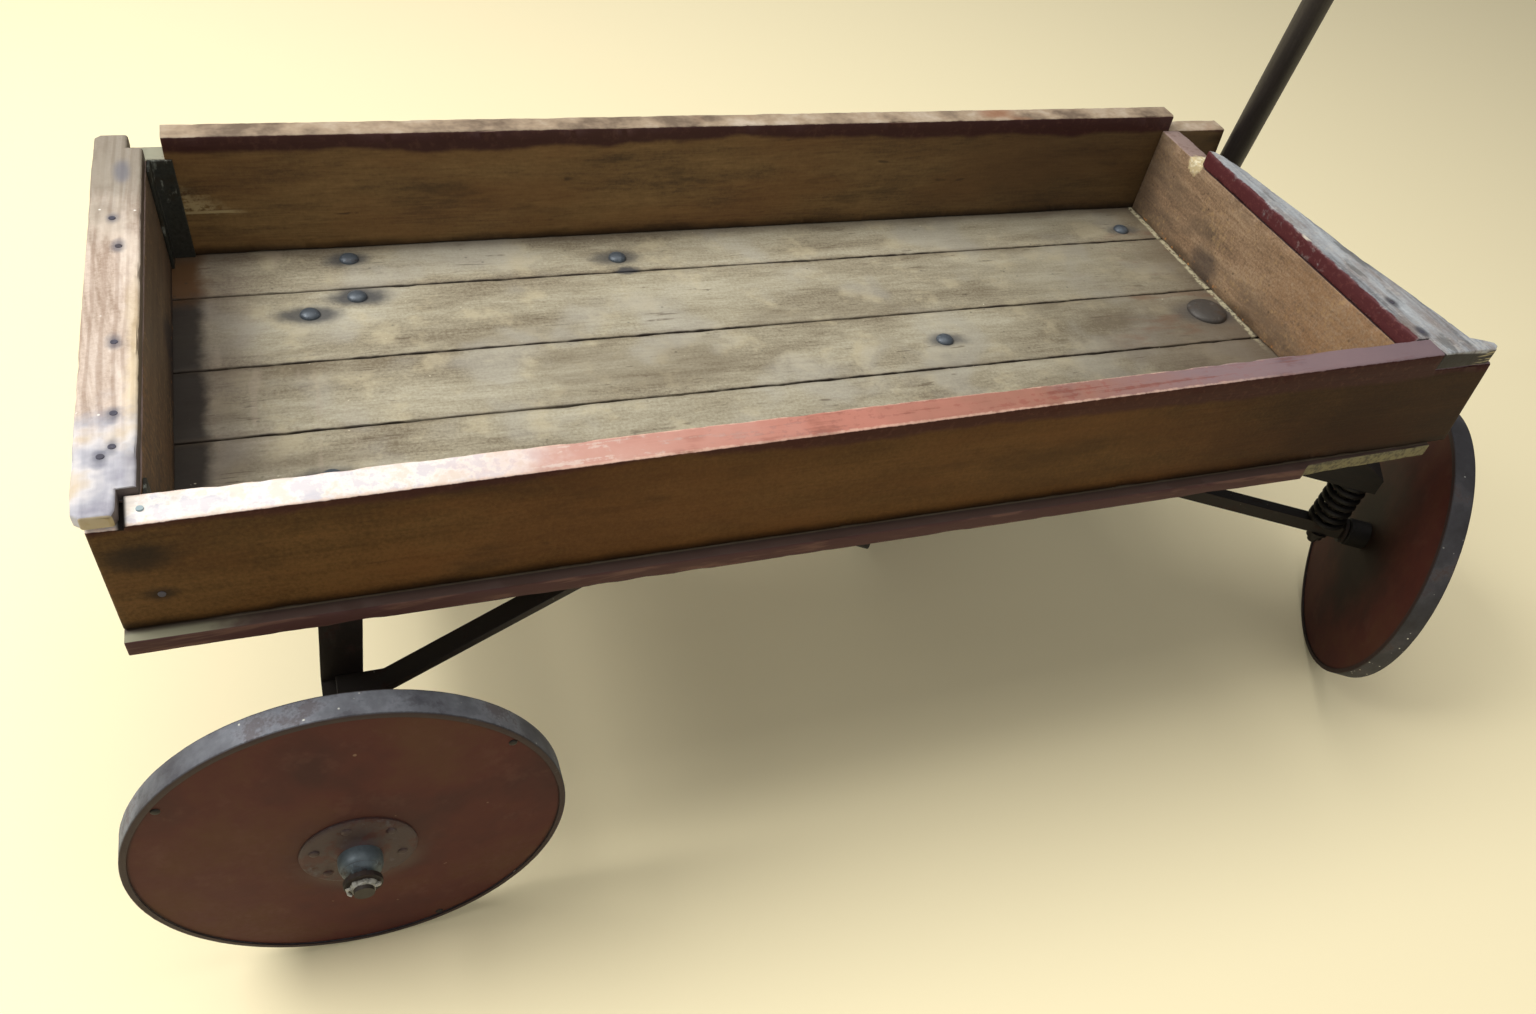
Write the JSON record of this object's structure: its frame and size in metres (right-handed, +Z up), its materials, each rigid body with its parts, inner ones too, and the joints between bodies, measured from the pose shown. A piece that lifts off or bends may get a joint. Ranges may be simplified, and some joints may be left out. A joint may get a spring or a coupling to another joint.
{
  "type": "child's coaster wagon",
  "caption": "Antique child's coaster wagon: open wooden box with board sides on disc wheels, a turning front truck and a pull handle.",
  "frame": {"origin": "top of the floor boards, midway along the full-height side boards and midway across the box", "axes": "+X towards the front of the wagon, +Y to its left side, +Z up, square to the floor boards"},
  "size_m": [1.1471, 0.567, 0.8808],
  "materials": {
    "bed_wood": "bleached bare boards with dark seams",
    "side_wood": "aged varnish with red painted edges",
    "cap_wood": "weathered, traces of red paint",
    "bolster_wood": "dark old varnish",
    "handle_wood": "dark worn stain",
    "strap_iron": "worn black paint over iron",
    "spring_steel": "dark rusty steel",
    "bolt_iron": "dark rusty iron",
    "tread_steel": "worn dark steel",
    "wheel_paint": "dull oxblood paint",
    "hub_iron": "greasy dark iron"
  },
  "bodies": {
    "root": {"floor_board_1": "bed_wood", "floor_board_2": "bed_wood", "floor_board_3": "bed_wood", "floor_board_4": "bed_wood", "floor_board_5": "bed_wood", "side_board_left": "side_wood", "side_board_right": "side_wood", "end_board_rear": "side_wood", "end_board_front": "side_wood", "end_cap_rear": "cap_wood", "end_cap_front": "cap_wood", "corner_iron_left": "strap_iron", "corner_iron_right": "strap_iron", "floor_batten_rear": "bolster_wood", "floor_batten_front": "bolster_wood", "rear_hanger_left": "strap_iron", "rear_hanger_right": "strap_iron", "rear_brace_left": "strap_iron", "rear_brace_right": "strap_iron", "rear_axle": "strap_iron", "rear_axle_washers": "bolt_iron", "rear_spring_left": "spring_steel", "rear_spring_right": "spring_steel", "body_bolster": "bolster_wood", "turntable_upper": "strap_iron", "kingpin": "bolt_iron"},
    "front_truck": {"turntable_lower": "strap_iron", "truck_bolster": "bolster_wood", "front_axle": "strap_iron", "front_axle_washers": "bolt_iron", "front_spring_left": "spring_steel", "front_spring_right": "spring_steel", "hound_left": "strap_iron", "hound_right": "strap_iron", "handle_pin": "bolt_iron"},
    "handle": {"handle_ferrule": "strap_iron", "handle_pole": "handle_wood", "handle_grip": "strap_iron"},
    "wheel_rear_left": {"wheel_rear_left_tread": "tread_steel", "wheel_rear_left_discs": "wheel_paint", "wheel_rear_left_hub": "hub_iron"},
    "wheel_rear_right": {"wheel_rear_right_tread": "tread_steel", "wheel_rear_right_discs": "wheel_paint", "wheel_rear_right_hub": "hub_iron"},
    "wheel_front_left": {"wheel_front_left_tread": "tread_steel", "wheel_front_left_discs": "wheel_paint", "wheel_front_left_hub": "hub_iron"},
    "wheel_front_right": {"wheel_front_right_tread": "tread_steel", "wheel_front_right_discs": "wheel_paint", "wheel_front_right_hub": "hub_iron"}
  },
  "joints": [
    {"name": "steer", "type": "hinge", "parent": "root", "child": "front_truck", "pos_m": [0.3945, 0, -0.0552], "axis": [0, 0, 1], "range_deg": [-110, 0]},
    {"name": "handle_hinge", "type": "hinge", "parent": "front_truck", "child": "handle", "pos_m": [0.54191, 0.21052, -0.12], "axis": [-0.8192, 0.5736, 0], "range_deg": [0, 118]},
    {"name": "wheel_rear_left_spin", "type": "hinge", "parent": "root", "child": "wheel_rear_left", "pos_m": [-0.355, 0.2375, -0.168], "axis": [0, 1, 0], "continuous": true},
    {"name": "wheel_rear_right_spin", "type": "hinge", "parent": "root", "child": "wheel_rear_right", "pos_m": [-0.355, -0.2375, -0.168], "axis": [0, 1, 0], "continuous": true},
    {"name": "wheel_front_left_spin", "type": "hinge", "parent": "front_truck", "child": "wheel_front_left", "pos_m": [0.17719, 0.10041, -0.168], "axis": [-0.848, 0.5299, 0], "continuous": true},
    {"name": "wheel_front_right_spin", "type": "hinge", "parent": "front_truck", "child": "wheel_front_right", "pos_m": [0.58001, -0.1513, -0.168], "axis": [-0.848, 0.5299, 0], "continuous": true}
  ]
}
